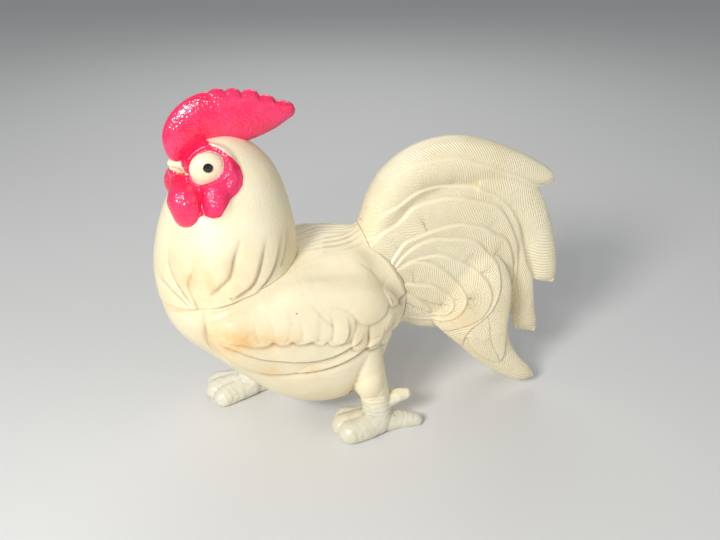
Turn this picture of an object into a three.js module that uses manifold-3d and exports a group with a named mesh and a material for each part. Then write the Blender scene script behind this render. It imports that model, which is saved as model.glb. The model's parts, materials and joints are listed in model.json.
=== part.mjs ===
// A hollow moulded rubber toy rooster that stands on two flat feet. Its head, tail and legs are separate
// mouldings held by plugs, like the limbs of a vinyl doll, and a reed squeaker sits in the belly.
// Millimetres, +Z up. The bird faces -Y, its left side is +X, and its soles stand on Z = 0.
import * as THREE from "three";
import { mergeVertices } from "three/addons/utils/BufferGeometryUtils.js";
import Module from "manifold-3d";

const wasm = await Module();
wasm.setup();

// ---- Driving dimensions ------------------------------------------------------------------------

const WALL = 2.4; // thickness of the moulded rubber
const GAP = 0.4; // clearance where two mouldings meet
const LIP = 2; // thickness of a plug's retaining flange
const SNUG = 0.35; // clearance round the comb's foot and behind the wattles
const FAR = 300; // longer than anything here

const degrees = THREE.MathUtils.degToRad;

// The round seats that the plugs sit in. Each has a centre on the body's cut face, an axis that points
// away from the body, the radius of its hole, and how far the plug's flange reaches past the hole.
const NECK_TILT = degrees(14);
const TAIL_RISE = degrees(17.2);
const NECK = seat([0, -56, 72.5], [0, -Math.sin(NECK_TILT), Math.cos(NECK_TILT)], 14, 2.6);
const TAIL_BALL = 27; // the tail sits on a ball of this radius, so its seam bows back on each side
const TAIL_RIM = 15.65; // from the ball's middle to the flat face around the ball
const TAIL = seat([0, 13.4, 64.4], [0, Math.cos(TAIL_RISE), Math.sin(TAIL_RISE)], 8.5, 2.2);
const LEFT_HIP = seat([19, -4, 21], [0, 0, -1], 3.3, 1.3);
const RIGHT_HIP = seat([-18.5, -41, 20.5], [0, 0, -1], 3.3, 1.3);
const SQUEAKER = seat([0, -21, 11.6], [0, 0, -1], 7.6, 0);

const THIGH_RADIUS = 6.7;
const HIP_RECESS = 2.8; // how far the recess in the belly's side reaches past the thigh
const FLANGE_TAPER = 0.8; // how much a plug's flange narrows to its inner end, to be pushed in
const PLUG_DROP = 2.5; // how far the ball's inside falls away under the tail plug's flange
const LEFT_ANKLE = { at: [19.4, -1.2], heading: degrees(2) }; // heading turns the toes outwards
const RIGHT_ANKLE = { at: [-19.4, -48.6], heading: 0 };

const EYE = { x: 9.8, y: -60.6, z: 116.4 }; // centre of the left eye's bulge
const EYE_RADII = [3.6, 6.2, 6.0];
const PUPIL_RADIUS = 1.75;
const PUPIL_RISE = 1.4; // how far the pupil's middle is above the eye's
const PUPIL_ROOM = 0.3; // clearance round a pupil in its socket

const SQUEAKER_RING = { radius: 11, thickness: 2.8 }; // the thick ring of belly that grips the squeaker
const CUP = { radius: SQUEAKER.hole - 0.3, depth: 8, wall: 0.9, hole: 1.7, rim: 1.2, flange: 1.6 };
const PLATE = { radius: CUP.radius - CUP.wall - 0.3, thickness: 0.8, height: -3.2 };
const REED = { length: 9, width: 2.6, thickness: 0.4, root: 4.4 };
const SLOT = { length: 6, width: 1.6, offset: -0.6 };
const RIVET = { shank: 0.55, head: 1.2, headHeight: 0.5, bore: 0.75, play: 0.15 };

// ---- Outlines ----------------------------------------------------------------------------------
// Each row is one station of a loft: low rail y, z, high rail y, z, half width in X, and optionally
// the X of the station's middle.

const TRUNK = [
  [-82.2, 70, -82.2, 70, 0],
  [-81.4, 64, -81.6, 77, 10],
  [-79.5, 56.5, -79, 84, 17],
  [-74.5, 48, -73, 90, 22],
  [-67, 40.5, -65, 94, 25.5],
  [-58.5, 32, -56, 96, 27.5],
  [-50, 23.5, -47, 94.5, 28.5],
  [-42, 16.5, -38.5, 90.5, 29],
  [-33.5, 12, -30, 86.5, 29.5],
  [-25, 9.7, -22, 84.6, 29],
  [-16, 9.4, -14.5, 84.2, 28],
  [-7.5, 12.5, -9.5, 84.2, 26],
  [0, 19.5, -7, 84, 23.5],
  [5, 29, -5.6, 83.6, 20.5],
  [8.5, 38, -4.8, 83.8, 17.5],
  [13, 39.6, -3.8, 86, 15.2],
  [19, 36, -1.5, 92, 13.8],
  [26, 33.6, 3.5, 97.5, 12.9],
];

const WING = [
  [-68.2, 60, -68.2, 60, 0, 20.5],
  [-67, 54, -66.8, 66, 4.5, 21],
  [-61, 45, -60, 70.5, 7, 22],
  [-51, 39.5, -50, 72.5, 8, 23],
  [-41, 37, -39, 74, 8, 23.4],
  [-30, 36.5, -27, 74, 7.6, 23],
  [-19, 39, -15, 72.5, 7, 22],
  [-8, 43, -4, 69, 6.2, 20.2],
  [2, 48, 4, 62, 4.5, 17.5],
  [9, 53, 9, 53, 0, 14],
];

const HEAD = [
  [-82.3, 65, -29.3, 78.2, 27.4],
  [-83, 72.5, -29.6, 84.5, 26.9],
  [-82.7, 79.5, -30, 90, 25.5],
  [-81.2, 87, -31, 96, 23.2],
  [-79, 94.5, -32.4, 101.8, 20.4],
  [-76.3, 101.3, -34.2, 107.6, 17.8],
  [-73.5, 106.5, -36.4, 112.5, 15.4],
  [-71, 111.5, -39.4, 116.8, 13.4],
  [-69.5, 115.5, -43, 120.4, 11.6],
  [-67.5, 119.5, -47, 123.2, 9.4],
  [-63, 123, -52, 125, 6],
  [-58, 125, -58, 125, 0],
];

const COMB = [
  [-71.6, 116, -71.6, 116, 0],
  [-68.5, 116, -73.8, 120.5, 2.4],
  [-66, 118.6, -74.2, 126.5, 3.2],
  [-63, 121, -71.7, 132.2, 3.7],
  [-59, 122.6, -66.7, 137.1, 3.9],
  [-54.5, 123, -60, 140.2, 4],
  [-50, 122.6, -53.5, 141.6, 4],
  [-45.5, 122, -47, 141, 3.9],
  [-40, 123.6, -41.5, 140, 3.6],
  [-34.5, 126, -35.5, 137.4, 3.2],
  [-30.5, 128.6, -31, 135.4, 2.8],
  [-28.4, 130, -28.7, 134.2, 2],
  [-27.6, 132, -27.6, 132, 0],
];

// The beak and the left wattle as limbs: x, y, z and radius.
const BEAK = [
  [0, -64, 114, 3.7],
  [0, -68.4, 115, 3.3],
  [0, -71.4, 115.6, 2.4],
];
const WATTLE = [
  [5.6, -70.4, 110.8, 3.2],
  [9.6, -69.2, 106, 6.3],
  [11.2, -68.2, 101.7, 5.9],
];

// The tail's mass, a fan that carries on from the trunk's last stations, and the feathers that stand out
// of it.
const TAIL_FAN = [
  [5, 29, -5.6, 83.6, 20.5],
  [8.5, 38, -4.8, 83.8, 17.5],
  [13, 39.6, -3.8, 86, 15.2],
  [19, 36, -1.5, 92, 13.8],
  [26, 33.6, 3.5, 97.5, 12.9],
  [36, 32.6, 19, 104.6, 11.6],
  [46, 35, 36, 104, 10],
  [55, 42, 50, 98, 8],
  [62, 56, 60, 88, 5.5],
  [66, 73, 66, 73, 0],
];
const TOP_SICKLE = [
  [10, 66, -6, 79.5, 11],
  [9, 74, -3.6, 88, 10.5],
  [11, 82, -0.5, 97.5, 10],
  [15.5, 89, 5, 106, 9.5],
  [21, 93, 13, 112.5, 9],
  [28, 96, 23.5, 116.3, 8.5],
  [38, 97, 34.5, 117, 8],
  [48, 96.5, 46, 114.5, 7.2],
  [57, 95.5, 57.5, 109.8, 6.2],
  [65, 94, 68, 104.2, 5],
  [72, 92.6, 75.6, 98.6, 3.2],
  [77.4, 94, 77.4, 94, 0],
];
const REAR_SICKLE = [
  [40, 90, 44, 107, 6.5],
  [51, 86, 59, 102.5, 6.2],
  [59, 79, 70.5, 91.5, 5.6],
  [65, 70, 77, 78.5, 5],
  [69, 61, 80.6, 67, 4.4],
  [71.6, 54, 82.9, 56, 3.6],
  [73, 50.2, 83.2, 51.2, 2.8],
  [82.4, 46.8, 82.4, 46.8, 0],
];
const INNER_SICKLE = [
  [50, 62, 66, 72, 5],
  [56, 52, 71, 58, 4.6],
  [61, 42, 73, 46, 4],
  [64.5, 32, 75, 35, 3.4],
  [66.4, 26.6, 76.6, 28, 2.8],
  [76.6, 22.8, 76.6, 22.8, 0],
];
const SIDE_SICKLE = [
  [24, 48, 42, 74, 2.5, 7],
  [25, 41, 52, 67, 4.6, 9],
  [30, 35, 57, 57, 5.4, 10],
  [37, 28, 58, 47, 5.4, 10],
  [43.5, 21, 57.5, 36, 5.2, 10],
  [50.5, 14.5, 60, 26, 4.6, 9.5],
  [58, 9, 65, 17.5, 3.8, 9],
  [66, 4.6, 71, 10.5, 2.8, 8.5],
  [74.5, 4, 74.5, 4, 0, 8],
];

// ---- Small tools -------------------------------------------------------------------------------

function seat(centre, axis, hole, reach) {
  return {
    centre: new THREE.Vector3(...centre),
    axis: new THREE.Vector3(...axis).normalize(),
    hole,
    reach,
  };
}

// A closed three.js geometry as a manifold-3d solid, whichever way its faces run.
function solid(geometry) {
  const bare = geometry.clone();
  bare.deleteAttribute("normal");
  bare.deleteAttribute("uv");
  const merged = mergeVertices(bare, 1e-3);
  const corners = merged.index.array;
  const kept = [];
  for (let i = 0; i < corners.length; i += 3) {
    const [a, b, c] = corners.slice(i, i + 3);
    if (a !== b && b !== c && c !== a) kept.push(a, b, c);
  }
  const build = (triVerts) =>
    new wasm.Manifold(
      new wasm.Mesh({
        numProp: 3,
        vertProperties: merged.attributes.position.array,
        triVerts: new Uint32Array(triVerts),
      }),
    );
  const made = build(kept);
  return made.volume() > 0 ? made : build(kept.reverse());
}

// A manifold-3d solid as a named three.js mesh.
function meshOf(name, made, look) {
  const { numProp, vertProperties, triVerts } = made.getMesh();
  const positions = [];
  for (let i = 0; i < vertProperties.length; i += numProp) {
    positions.push(...vertProperties.subarray(i, i + 3));
  }
  const geometry = new THREE.BufferGeometry();
  geometry.setAttribute("position", new THREE.Float32BufferAttribute(positions, 3));
  geometry.setIndex([...triVerts]);
  geometry.computeVertexNormals();
  const mesh = new THREE.Mesh(geometry, look);
  mesh.name = name;
  return mesh;
}

// The surface through a row of rings. A ring of one point is a pole, and any other end gets a flat cap.
function skin(rings) {
  const positions = [];
  const index = [];
  const start = rings.map((ring) => {
    const first = positions.length / 3;
    ring.forEach((p) => positions.push(p.x, p.y, p.z));
    return first;
  });
  for (let r = 0; r + 1 < rings.length; r++) {
    const around = Math.max(rings[r].length, rings[r + 1].length);
    for (let k = 0; k < around; k++) {
      const corner = (ring, step) =>
        start[ring] + (rings[ring].length === 1 ? 0 : (k + step) % around);
      index.push(corner(r, 0), corner(r, 1), corner(r + 1, 1));
      index.push(corner(r, 0), corner(r + 1, 1), corner(r + 1, 0));
    }
  }
  const cap = (ring, flip) => {
    const n = rings[ring].length;
    for (let k = 1; k + 1 < n; k++) {
      const fan = [start[ring], start[ring] + k + 1, start[ring] + k];
      index.push(...(flip ? fan.reverse() : fan));
    }
  };
  cap(0, false);
  cap(rings.length - 1, true);
  const geometry = new THREE.BufferGeometry();
  geometry.setAttribute("position", new THREE.Float32BufferAttribute(positions, 3));
  geometry.setIndex(index);
  return geometry;
}

// A loft between two rails. Each ring is an oval that reaches from the low rail to the high one. inset
// pulls the whole skin in by that much, which makes the hollow of a shell, and a negative inset swells it.
function railLoft(stations, { around = 28, along = 30, inset = 0 } = {}) {
  const low = new THREE.CatmullRomCurve3(
    stations.map(([y, z, , , half]) => new THREE.Vector3(half, y, z)),
  );
  const high = new THREE.CatmullRomCurve3(
    stations.map(([, , y, z, , middle = 0]) => new THREE.Vector3(middle, y, z)),
  );
  const rings = [];
  for (let i = 0; i <= along; i++) {
    const a = low.getPoint(i / along);
    const b = high.getPoint(i / along);
    const centre = new THREE.Vector3(b.x, (a.y + b.y) / 2, (a.z + b.z) / 2);
    const reach = new THREE.Vector3(0, (b.y - a.y) / 2, (b.z - a.z) / 2);
    const length = reach.length() - inset;
    const half = a.x - inset;
    if (inset > 0 && (length < inset || half < inset)) continue;
    if (length < 1e-3 || half < 1e-3) {
      rings.push([centre]);
      continue;
    }
    reach.setLength(length);
    rings.push(
      Array.from({ length: around }, (_, k) => {
        const turn = (2 * Math.PI * k) / around;
        return centre
          .clone()
          .addScaledVector(reach, Math.sin(turn))
          .add(new THREE.Vector3(half * Math.cos(turn), 0, 0));
      }),
    );
  }
  return solid(skin(rings));
}

// A round limb with hemispherical ends through points [x, y, z, radius].
function limb(points, { around = 12, steps = 3 } = {}) {
  const path = new THREE.CatmullRomCurve3(
    points.map(([x, y, z]) => new THREE.Vector3(x, y, z)),
  );
  const radii = new THREE.CatmullRomCurve3(
    points.map((p) => new THREE.Vector3(p[3], 0, 0)),
  );
  const along = steps * (points.length - 1);
  const capRings = 2;
  const side = new THREE.Vector3();
  const rings = [];
  const ring = (centre, tangent, radius) => {
    if (side.lengthSq() === 0) side.set(1, 0, 0);
    side.addScaledVector(tangent, -side.dot(tangent)).normalize();
    const other = tangent.clone().cross(side);
    rings.push(
      Array.from({ length: around }, (_, k) => {
        const turn = (2 * Math.PI * k) / around;
        return centre
          .clone()
          .addScaledVector(side, radius * Math.cos(turn))
          .addScaledVector(other, radius * Math.sin(turn));
      }),
    );
  };
  const end = (t, sign) => {
    const centre = path.getPoint(t);
    const tangent = path.getTangent(t);
    const radius = radii.getPoint(t).x;
    const lifts = Array.from({ length: capRings }, (_, k) => (k + 1) / (capRings + 1));
    if (sign < 0) lifts.reverse();
    const pole = [centre.clone().addScaledVector(tangent, sign * radius)];
    if (sign < 0) rings.push(pole);
    lifts.forEach((lift) => {
      const angle = (lift * Math.PI) / 2;
      const middle = centre.clone().addScaledVector(tangent, sign * radius * Math.sin(angle));
      ring(middle, tangent, radius * Math.cos(angle));
    });
    if (sign > 0) rings.push(pole);
  };
  end(0, -1);
  for (let i = 0; i <= along; i++) {
    ring(path.getPoint(i / along), path.getTangent(i / along), radii.getPoint(i / along).x);
  }
  end(1, 1);
  return solid(skin(rings));
}

// A turned piece: profile points [radius, height] along the seat's axis from its centre.
function turned(profile, { centre, axis }, segments = 24) {
  const geometry = new THREE.LatheGeometry(
    profile.map(([r, h]) => new THREE.Vector2(r, h)),
    segments,
  );
  const up = new THREE.Vector3(0, 1, 0);
  geometry.applyQuaternion(new THREE.Quaternion().setFromUnitVectors(up, axis));
  geometry.translate(centre.x, centre.y, centre.z);
  return solid(geometry);
}

function cylinder(radius, from, to, place, segments) {
  return turned([[0, from], [radius, from], [radius, to], [0, to]], place, segments);
}

// Everything on the far side of a seat's face, from that height along its axis.
function beyond(place, height) {
  return cylinder(FAR, height, height + FAR, place, 8);
}

function ellipsoid([rx, ry, rz], x, y, z) {
  const geometry = new THREE.SphereGeometry(1, 18, 10);
  geometry.scale(rx, ry, rz);
  geometry.translate(x, y, z);
  return solid(geometry);
}

function ball(radius, { x, y, z }) {
  const geometry = new THREE.SphereGeometry(radius, 26, 18);
  geometry.translate(x, y, z);
  return solid(geometry);
}

function block(sx, sy, sz, x, y, z) {
  const geometry = new THREE.BoxGeometry(sx, sy, sz);
  geometry.translate(x, y, z);
  return solid(geometry);
}

const sum = (pieces) => pieces.reduce((all, piece) => all.add(piece));

// The other side's copy of a loft: the same stations with their middles mirrored, moved by back and up.
const mirrored = (stations, back = 0, up = 0) =>
  stations.map(([y1, z1, y2, z2, half, middle]) => [
    y1 + back,
    z1 + up,
    y2 + back,
    z2 + up,
    half,
    -middle,
  ]);

// A plug: a stem through the hole and a flange behind the wall. root is how far it is buried in its
// own moulding, and bore is the radius of the hole down its middle, 0 for a solid plug.
function plug(place, root, bore, wall = WALL) {
  const stem = place.hole - GAP;
  const flange = place.hole + place.reach;
  const back = -wall - GAP;
  const outside = [
    [stem, root],
    [stem, back],
    [flange, back],
    [flange - FLANGE_TAPER, back - LIP],
  ];
  const inside = bore > 0 ? [[bore, back - LIP], [bore, root]] : [[0, back - LIP]];
  const first = bore > 0 ? [bore, root] : [0, root];
  return turned([first, ...outside, ...inside], place);
}

// ---- Body --------------------------------------------------------------------------------------

const floorBelow = block(FAR, FAR, FAR, 0, 0, -FAR / 2);

// The thigh that a leg plugs into: a round stump from inside the trunk down to the hip's face.
function thigh(place, radius, grow) {
  const inward = place.axis.clone().negate();
  const at = (distance) => place.centre.clone().addScaledVector(inward, distance);
  const tip = at(-2);
  const root = at(20);
  return limb([
    [tip.x, tip.y, tip.z, radius + grow],
    [...at(7).toArray(), radius + 0.6 + grow],
    [root.x * 0.85, root.y - 2, root.z, radius + 2.4 + grow],
  ]);
}

function bodyShell() {
  const seats = [NECK, TAIL, LEFT_HIP, RIGHT_HIP];
  const wings = [WING, mirrored(WING)].map((w) => railLoft(w, { along: 11, around: 12 }));
  const thighs = [LEFT_HIP, RIGHT_HIP].map((hip) => thigh(hip, THIGH_RADIUS, 0));
  let skinSide = sum([railLoft(TRUNK, { along: 20, around: 24 }), ...wings, ...thighs]);
  let hollow = sum([
    railLoft(TRUNK, { along: 13, around: 16, inset: WALL }),
    ...[LEFT_HIP, RIGHT_HIP].map((hip) => thigh(hip, THIGH_RADIUS, -1.6)),
  ]);
  skinSide = skinSide.subtract(beyond(NECK, 0)).subtract(tailRoom(0));
  hollow = hollow.subtract(beyond(NECK, -WALL)).subtract(tailRoom(-WALL));
  for (const place of [LEFT_HIP, RIGHT_HIP]) {
    skinSide = skinSide.subtract(hipTrim(place, 0));
    hollow = hollow.subtract(hipTrim(place, WALL));
  }
  const ring = cylinder(SQUEAKER_RING.radius, -SQUEAKER_RING.thickness, 4, SQUEAKER);
  let shell = skinSide.subtract(hollow).add(ring.intersect(skinSide));
  shell = shell.subtract(cylinder(CUP.radius + CUP.rim + GAP, 0, 4, SQUEAKER));
  for (const place of [...seats, SQUEAKER]) {
    shell = shell.subtract(cylinder(place.hole, -WALL - 4, 4, place));
  }
  return shell;
}

// Everything on the tail's side of its seam, set back from it by that much: the space past the rim's flat
// face, less the ball that stands out of it.
function tailRoom(setBack) {
  const rim = TAIL_RIM - TAIL_BALL + setBack;
  const ballCentre = TAIL.centre.clone().addScaledVector(TAIL.axis, -TAIL_BALL);
  const size = TAIL_BALL + setBack;
  return beyond(TAIL, rim).subtract(ball(size, ballCentre));
}

// What is trimmed off below a thigh's face: a round recess in the belly's side that clears the leg. grow
// widens it by a wall, for the hollow.
function hipTrim(place, grow) {
  return cylinder(THIGH_RADIUS + HIP_RECESS + grow, -grow, 14 + grow, place);
}

// ---- Head --------------------------------------------------------------------------------------

// One side's pupil: a bead with a stem, pushed into the eye. grow makes the socket it sits in.
function pupil(side, grow) {
  const x = side * (EYE.x + EYE_RADII[0] - 0.5);
  const place = seat([x, EYE.y, EYE.z + PUPIL_RISE], [side, 0, 0], 0, 0);
  const r = PUPIL_RADIUS + grow;
  const bead = [[r, -0.4 - grow], [r, 0.3], [r * 0.75, 0.85], [r * 0.35, 1.1 + grow], [0, 1.15 + grow]];
  const stem = [[0, -2.6 - grow], [0.8 + grow, -2.6 - grow], [0.8 + grow, -0.4 - grow]];
  return turned([...stem, ...bead], place, 12);
}

function headShell() {
  const outer = sum([
    railLoft(HEAD, { along: 13, around: 24 }),
    limb(BEAK),
    ...[1, -1].map((side) => ellipsoid(EYE_RADII, side * EYE.x, EYE.y, EYE.z)),
  ]).subtract(beyond(flipped(NECK), -GAP));
  const hollow = railLoft(HEAD, { along: 9, around: 14, inset: WALL }).subtract(
    beyond(flipped(NECK), -GAP - WALL),
  );
  const bore = NECK.hole - GAP - WALL;
  let shell = outer.subtract(hollow).subtract(cylinder(bore, -1, WALL + 2, NECK));
  shell = shell.add(plug(NECK, GAP + 1, bore));
  shell = shell.subtract(railLoft(COMB, { along: 16, around: 12, inset: -SNUG }));
  return shell.subtract(pupil(1, PUPIL_ROOM)).subtract(pupil(-1, PUPIL_ROOM));
}

// The same seat seen from its other side.
function flipped(place) {
  return { ...place, axis: place.axis.clone().negate() };
}

// A wattle hangs from the corner of the beak and lies on the front of the neck.
function wattle(side) {
  const lobe = limb(WATTLE.map(([x, ...rest]) => [side * x, ...rest]));
  const beakRoom = limb(BEAK.map(([x, y, z, r]) => [x, y, z, r + SNUG]));
  const headRoom = railLoft(HEAD, { along: 13, around: 24, inset: -SNUG });
  return lobe.subtract(headRoom).subtract(beakRoom);
}

// ---- Tail --------------------------------------------------------------------------------------

function tailShell() {
  const outer = sum([
    railLoft(TAIL_FAN, { along: 12, around: 20 }),
    railLoft(TOP_SICKLE, { along: 14, around: 12 }),
    railLoft(REAR_SICKLE, { along: 11, around: 12 }),
    railLoft(INNER_SICKLE, { along: 8, around: 10 }),
    railLoft(SIDE_SICKLE, { along: 14, around: 12 }),
    railLoft(mirrored(SIDE_SICKLE, -3, -1.8), { along: 14, around: 12 }),
  ]).intersect(tailRoom(GAP));
  const hollow = railLoft(TAIL_FAN, { along: 9, around: 12, inset: WALL })
    .add(railLoft(TOP_SICKLE, { along: 9, around: 8, inset: WALL }))
    .intersect(tailRoom(GAP + WALL));
  const bore = TAIL.hole - GAP - WALL;
  return outer
    .subtract(hollow)
    .subtract(cylinder(bore, -3, WALL + 3, TAIL))
    .add(plug(TAIL, GAP + 1, bore, WALL + PLUG_DROP));
}

// ---- Legs --------------------------------------------------------------------------------------

// A leg is one moulding: shank, three front toes, a hind toe and a spur, with a plug at the top.
// side is 1 for the left leg.
function leg(place, side, { at: ankle, heading }) {
  const spot = (across, ahead, z, r) => [
    ankle[0] + side * (across * Math.cos(heading) + ahead * Math.sin(heading)),
    ankle[1] - ahead * Math.cos(heading) + across * Math.sin(heading),
    z,
    r,
  ];
  const toes = [
    [spot(1, 1, 4.8, 5.8), spot(3.6, 8, 4.2, 5.2), spot(4.6, 13.6, 4, 4.8)],
    [spot(0, 1, 4.8, 5.8), spot(-0.4, 9, 4.3, 5.2), spot(-0.8, 15, 4, 4.8)],
    [spot(-1, 1, 4.6, 5.4), spot(-4.2, 8, 4, 4.7), spot(-6.2, 12.4, 3.6, 4.3)],
    [spot(0.4, 0, 4.6, 5.4), spot(1.4, -9, 3, 3.8), spot(2, -15.6, 2.1, 2.8)],
  ];
  const top = place.centre.z + 2;
  const shank = [
    [place.centre.x, place.centre.y, top, 6.1],
    [(place.centre.x + ankle[0]) / 2, (place.centre.y + ankle[1]) / 2, (top + 6) / 2, 5.9],
    spot(0, 0.5, 6.4, 6),
  ];
  const spur = [spot(0.2, -3, 14, 3), spot(0.6, -8.6, 15.6, 2.5), spot(0.8, -11.6, 16.2, 1.8)];
  return sum([shank, spur, ...toes].map((points) => limb(points, { steps: 1, around: 10 })))
    .subtract(beyond(flipped(place), -GAP))
    .subtract(floorBelow)
    .add(plug(place, GAP + 1, 0));
}

// ---- Squeaker ----------------------------------------------------------------------------------

// The cup snaps into the belly's hole: a flange inside, a rolled rim outside, and an air hole.
function squeakerCup() {
  const { radius: r, depth, wall, hole, rim, flange } = CUP;
  const back = -SQUEAKER_RING.thickness - GAP;
  return turned(
    [
      [hole, rim],
      [r + rim, rim],
      [r + rim, GAP],
      [r, GAP],
      [r, back],
      [r + flange, back - 0.3],
      [r + flange, back - 1.1],
      [r, back - 1.4],
      [r, -depth],
      [r - wall, -depth],
      [r - wall, -wall],
      [hole, -wall],
      [hole, rim],
    ],
    SQUEAKER,
    20,
  );
}

// The plate rests on a bead of glue in the cup, and has the slot that the reed beats over.
function squeakerPlate() {
  const { x, y, z } = SQUEAKER.centre;
  const low = z - PLATE.height;
  const disc = cylinder(PLATE.radius, PLATE.height, PLATE.height - PLATE.thickness, SQUEAKER);
  const slot = block(SLOT.width, SLOT.length, 4, x, y + SLOT.offset, low);
  return disc.subtract(slot).subtract(rivetHole(RIVET.bore));
}

const reedFloor = SQUEAKER.centre.z - PLATE.height + PLATE.thickness + RIVET.play;
const rivetPlace = {
  centre: new THREE.Vector3(SQUEAKER.centre.x, SQUEAKER.centre.y + REED.root - 0.9, SQUEAKER.centre.z),
  axis: SQUEAKER.axis,
};
const rivetHole = (radius) => cylinder(radius, 0, -2 * CUP.depth, rivetPlace, 14);

function squeakerReed() {
  const { x, y } = SQUEAKER.centre;
  const middle = y + REED.root - REED.length / 2 + 0.6;
  const strip = block(REED.width, REED.length, REED.thickness, x, middle, reedFloor + REED.thickness / 2);
  return strip.subtract(rivetHole(RIVET.bore + 0.05));
}

// The rivet that holds the reed's root: a head under the plate, a shank, and a head over the reed.
function squeakerRivet() {
  const { shank, head, headHeight, play } = RIVET;
  const under = PLATE.height + play;
  const over = PLATE.height - PLATE.thickness - REED.thickness - 2 * play;
  return turned(
    [
      [0, under + headHeight],
      [head, under + headHeight],
      [head, under],
      [shank, under],
      [shank, over],
      [head, over],
      [head, over - headHeight],
      [0, over - headHeight],
    ],
    rivetPlace,
    14,
  );
}

// ---- Assembly ----------------------------------------------------------------------------------

const rubber = new THREE.MeshStandardMaterial({ color: 0xf0e6c4, roughness: 0.45 });
const legRubber = new THREE.MeshStandardMaterial({ color: 0xdcd8c4, roughness: 0.35 });
const red = new THREE.MeshStandardMaterial({ color: 0xe0123c, roughness: 0.25 });
const black = new THREE.MeshStandardMaterial({ color: 0x101010, roughness: 0.2 });
const tin = new THREE.MeshStandardMaterial({ color: 0xb8bcc0, roughness: 0.35, metalness: 1 });
const brass = new THREE.MeshStandardMaterial({ color: 0xc9a24a, roughness: 0.3, metalness: 1 });

const rooster = new THREE.Group();
rooster.add(
  meshOf("body_shell", bodyShell(), rubber),
  meshOf("head_shell", headShell(), rubber),
  meshOf("comb", railLoft(COMB, { along: 16, around: 12 }), red),
  meshOf("left_wattle", wattle(1), red),
  meshOf("right_wattle", wattle(-1), red),
  meshOf("left_pupil", pupil(1, 0), black),
  meshOf("right_pupil", pupil(-1, 0), black),
  meshOf("tail_shell", tailShell(), rubber),
  meshOf("left_leg", leg(LEFT_HIP, 1, LEFT_ANKLE), legRubber),
  meshOf("right_leg", leg(RIGHT_HIP, -1, RIGHT_ANKLE), legRubber),
  meshOf("squeaker_cup", squeakerCup(), tin),
  meshOf("squeaker_plate", squeakerPlate(), brass),
  meshOf("squeaker_reed", squeakerReed(), brass),
  meshOf("squeaker_rivet", squeakerRivet(), tin),
);

export default rooster;
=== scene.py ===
import json
import math

import bmesh
import bpy
import numpy as np
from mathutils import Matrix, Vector, noise


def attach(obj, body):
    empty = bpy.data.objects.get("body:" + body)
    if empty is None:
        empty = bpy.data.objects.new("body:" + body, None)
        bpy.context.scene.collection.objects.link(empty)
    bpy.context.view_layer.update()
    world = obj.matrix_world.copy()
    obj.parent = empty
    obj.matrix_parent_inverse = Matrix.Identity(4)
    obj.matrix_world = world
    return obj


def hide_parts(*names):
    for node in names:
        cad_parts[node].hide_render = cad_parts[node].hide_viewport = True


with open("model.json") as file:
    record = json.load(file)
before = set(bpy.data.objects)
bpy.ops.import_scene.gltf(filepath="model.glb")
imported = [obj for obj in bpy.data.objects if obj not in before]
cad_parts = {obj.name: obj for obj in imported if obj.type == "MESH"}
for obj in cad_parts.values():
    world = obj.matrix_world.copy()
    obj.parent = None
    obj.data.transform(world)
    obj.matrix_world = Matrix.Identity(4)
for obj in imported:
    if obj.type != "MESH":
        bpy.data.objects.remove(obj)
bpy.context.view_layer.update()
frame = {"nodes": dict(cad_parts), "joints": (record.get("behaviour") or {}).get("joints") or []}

# A hollow rubber toy rooster. Shapes are built in millimetres, in the frame's own axes: the bird faces
# -Y, its left is +X and its soles stand on Z = 0. finished() turns them into metres.

MM = 0.001
WALL = 2.4  # thickness of the moulded rubber
GAP = 0.4  # clearance where two mouldings meet
SEAM = 0.2  # the same at the skin's own edge
LIP = 2.0  # thickness of a plug's retaining flange
FLANGE_TAPER = 0.8  # how much the flange narrows to its inner end
PLUG_DROP = 2.5  # how far the ball's inside falls away under the tail plug's flange
THIGH_RADIUS = 6.7
HIP_RECESS = 2.8  # how far the recess in the belly's side reaches past the thigh
SHARP = math.radians(38)  # edges steeper than this are shaded as corners
FAR = 300.0  # longer than anything here
UP = np.array([0.0, 0.0, 1.0])

# ---- Outlines ----
# Each row is one station of a loft, as in the CAD: low rail y, z, high rail y, z, half width in X, and
# optionally the X of the station's middle.

RUMP = [  # shared by the trunk and the tail's fan
    [5, 29, -5.6, 83.6, 20.5],
    [8.5, 38, -4.8, 83.8, 17.5],
    [13, 39.6, -3.8, 86, 15.2],
    [19, 36, -1.5, 92, 13.8],
    [26, 33.6, 3.5, 97.5, 12.9],
]
TRUNK = [
    [-82.2, 70, -82.2, 70, 0],
    [-81.4, 64, -81.6, 77, 10],
    [-79.5, 56.5, -79, 84, 17],
    [-74.5, 48, -73, 90, 22],
    [-67, 40.5, -65, 94, 25.5],
    [-58.5, 32, -56, 96, 27.5],
    [-50, 23.5, -47, 94.5, 28.5],
    [-42, 16.5, -38.5, 90.5, 29],
    [-33.5, 12, -30, 86.5, 29.5],
    [-25, 9.7, -22, 84.6, 29],
    [-16, 9.4, -14.5, 84.2, 28],
    [-7.5, 12.5, -9.5, 84.2, 26],
    [0, 19.5, -7, 84, 23.5],
    *RUMP,
]
WING = [
    [-68.2, 60, -68.2, 60, 0, 20.5],
    [-67, 54, -66.8, 66, 4.5, 21],
    [-61, 45, -60, 70.5, 7, 22],
    [-51, 39.5, -50, 72.5, 8, 23],
    [-41, 37, -39, 74, 8, 23.4],
    [-30, 36.5, -27, 74, 7.6, 23],
    [-19, 39, -15, 72.5, 7, 22],
    [-8, 43, -4, 69, 6.2, 20.2],
    [2, 48, 4, 62, 4.5, 17.5],
    [9, 53, 9, 53, 0, 14],
]
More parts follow.
